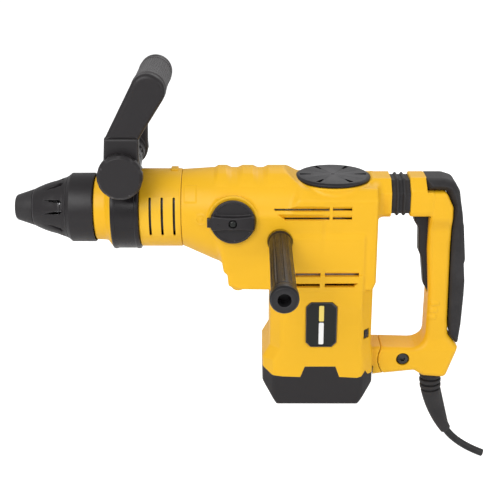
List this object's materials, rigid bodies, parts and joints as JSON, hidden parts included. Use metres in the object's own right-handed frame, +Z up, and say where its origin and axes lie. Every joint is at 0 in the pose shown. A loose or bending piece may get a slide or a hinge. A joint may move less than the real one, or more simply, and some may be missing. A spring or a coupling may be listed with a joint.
{
  "type": "demolition hammer",
  "caption": "L-shaped electric demolition hammer: upright motor, crank-driven piston barrel, keyless chisel chuck, tilting bow handle, side bar and sprung rear D-handle.",
  "frame": {"origin": "centre of the flat underside's motor axis: on the underside, straight below the motor's axis", "axes": "+X back along the hammer axis towards the operator, +Z up, -Y the tool's left side with the mode knob and side bar"},
  "size_m": [0.5191, 0.272, 0.457],
  "materials": {
    "yellow_plastic": "fine-grained amber moulded plastic, slightly polished on edges",
    "black_plastic": "fine-grained black moulded plastic",
    "rubber": "soft dark grey over-moulded rubber",
    "steel": "turned and ground steel, lightly oiled",
    "dark_steel": "dark phosphated steel",
    "aluminium": "die-cast aluminium, matt",
    "copper": "enamelled copper winding and brass holders",
    "carbon": "pressed carbon",
    "label": "satin black plate with plain yellow and white bars",
    "cable": "smooth black rubber cable jacket"
  },
  "bodies": {
    "housing": {"housing_left": "yellow_plastic", "housing_right": "yellow_plastic", "base_cap": "black_plastic", "name_plate": "label", "barrel_housing": "aluminium", "barrel_cover": "yellow_plastic", "front_bearing": "steel", "cylinder": "steel", "crankcase": "aluminium", "crank_cap": "black_plastic", "upper_bearing": "steel", "lower_bearing": "steel", "bearing_plate": "aluminium", "stator_core": "dark_steel", "field_coil_front": "copper", "field_coil_rear": "copper", "brush_left": "carbon", "brush_right": "carbon", "brush_holder_left": "copper", "brush_holder_right": "copper", "side_handle_grip": "rubber", "side_handle_stud": "steel", "pivot_bolt": "dark_steel", "bellows": "rubber", "damper_spring": "steel"},
    "spindle": {"tool_holder": "steel", "dust_cap": "rubber", "lock_roller_upper": "steel", "lock_roller_lower": "steel", "release_spring": "steel"},
    "chuck_sleeve": {"locking_sleeve": "black_plastic", "sleeve_ring": "black_plastic"},
    "impact_bolt": {"impact_bolt": "steel"},
    "striker": {"striker": "steel"},
    "piston": {"piston": "steel", "piston_pin": "steel"},
    "con_rod": {"con_rod": "dark_steel", "crank_pin": "steel"},
    "crank": {"crank_shaft": "dark_steel", "crank_gear": "steel"},
    "armature": {"armature_shaft": "steel", "armature_core": "dark_steel", "commutator": "copper", "cooling_fan": "black_plastic"},
    "lock_sleeve": {"lock_sleeve": "dark_steel"},
    "mode_knob": {"mode_knob": "black_plastic"},
    "knob_button": {"knob_button": "black_plastic"},
    "speed_wheel": {"speed_wheel": "black_plastic"},
    "clamp": {"clamp_band": "black_plastic"},
    "bow": {"bow_handle": "black_plastic", "bow_grip": "rubber"},
    "clamp_knob": {"clamp_knob": "black_plastic", "clamp_bolt": "steel"},
    "rear_handle": {"rear_handle_left": "yellow_plastic", "rear_handle_right": "yellow_plastic", "grip_overmold": "rubber", "switch_body": "black_plastic", "cord_boot": "rubber", "cord": "cable"},
    "trigger": {"trigger": "black_plastic"}
  },
  "joints": [
    {"name": "spindle_turn", "type": "hinge", "parent": "housing", "child": "spindle", "pos_m": [-0.266, 0, 0.211], "axis": [1, 0, 0], "continuous": true},
    {"name": "sleeve_slide", "type": "slide", "parent": "spindle", "child": "chuck_sleeve", "axis": [1, 0, 0], "range_m": [0, 0.008], "deforming": ["release_spring"]},
    {"name": "impact_bolt_travel", "type": "slide", "parent": "spindle", "child": "impact_bolt", "axis": [1, 0, 0], "range_m": [-0.006, 0.004]},
    {"name": "striker_travel", "type": "slide", "parent": "housing", "child": "striker", "axis": [1, 0, 0], "range_m": [-0.01, 0.01]},
    {"name": "piston_stroke", "type": "slide", "parent": "housing", "child": "piston", "axis": [1, 0, 0], "range_m": [-0.024, 0]},
    {"name": "rod_swing", "type": "hinge", "parent": "piston", "child": "con_rod", "pos_m": [-0.024, 0, 0.211], "axis": [0, 0, 1], "range_deg": [-11.2, 11.2]},
    {"name": "armature_spin", "type": "hinge", "parent": "housing", "child": "armature", "pos_m": [0, 0, 0.091], "axis": [0, 0, 1], "continuous": true},
    {"name": "crank_spin", "type": "hinge", "parent": "housing", "child": "crank", "pos_m": [0.026, 0, 0.181], "axis": [0, 0, 1], "continuous": true},
    {"name": "mode_turn", "type": "hinge", "parent": "housing", "child": "mode_knob", "pos_m": [-0.085, -0.05, 0.211], "axis": [0, -1, 0], "range_deg": [0, 90]},
    {"name": "knob_button_press", "type": "slide", "parent": "mode_knob", "child": "knob_button", "axis": [0, 1, 0], "range_m": [0, 0.0015]},
    {"name": "lock_sleeve_slide", "type": "slide", "parent": "housing", "child": "lock_sleeve", "axis": [1, 0, 0], "range_m": [0, 0.00706]},
    {"name": "speed_turn", "type": "hinge", "parent": "housing", "child": "speed_wheel", "pos_m": [0.0514, -0.0346, 0.0815], "axis": [0.7071, 0.7071, 0], "range_deg": [0, 300]},
    {"name": "clamp_swivel", "type": "hinge", "parent": "housing", "child": "clamp", "pos_m": [-0.197, 0, 0.211], "axis": [1, 0, 0], "continuous": true},
    {"name": "bow_tilt", "type": "hinge", "parent": "clamp", "child": "bow", "pos_m": [-0.197, 0, 0.263], "axis": [0, 1, 0], "range_deg": [-90, 45]},
    {"name": "clamp_knob_turn", "type": "hinge", "parent": "clamp", "child": "clamp_knob", "pos_m": [-0.197, -0.065, 0.263], "axis": [0, 1, 0], "range_deg": [0, 540]},
    {"name": "handle_swing", "type": "hinge", "parent": "housing", "child": "rear_handle", "pos_m": [0.1007, 0, 0.0415], "axis": [0, 1, 0], "range_deg": [-1.8, 0], "deforming": ["bellows", "damper_spring"]},
    {"name": "trigger_pull", "type": "hinge", "parent": "rear_handle", "child": "trigger", "pos_m": [0.114, 0, 0.199], "axis": [0, -1, 0], "range_deg": [0, 6]}
  ],
  "couplings": [
    {"joint": "crank_spin", "follows": "armature_spin", "ratio": -0.18182},
    {"joint": "mode_turn", "follows": "lock_sleeve_slide", "rad_per_m": 222.2}
  ]
}
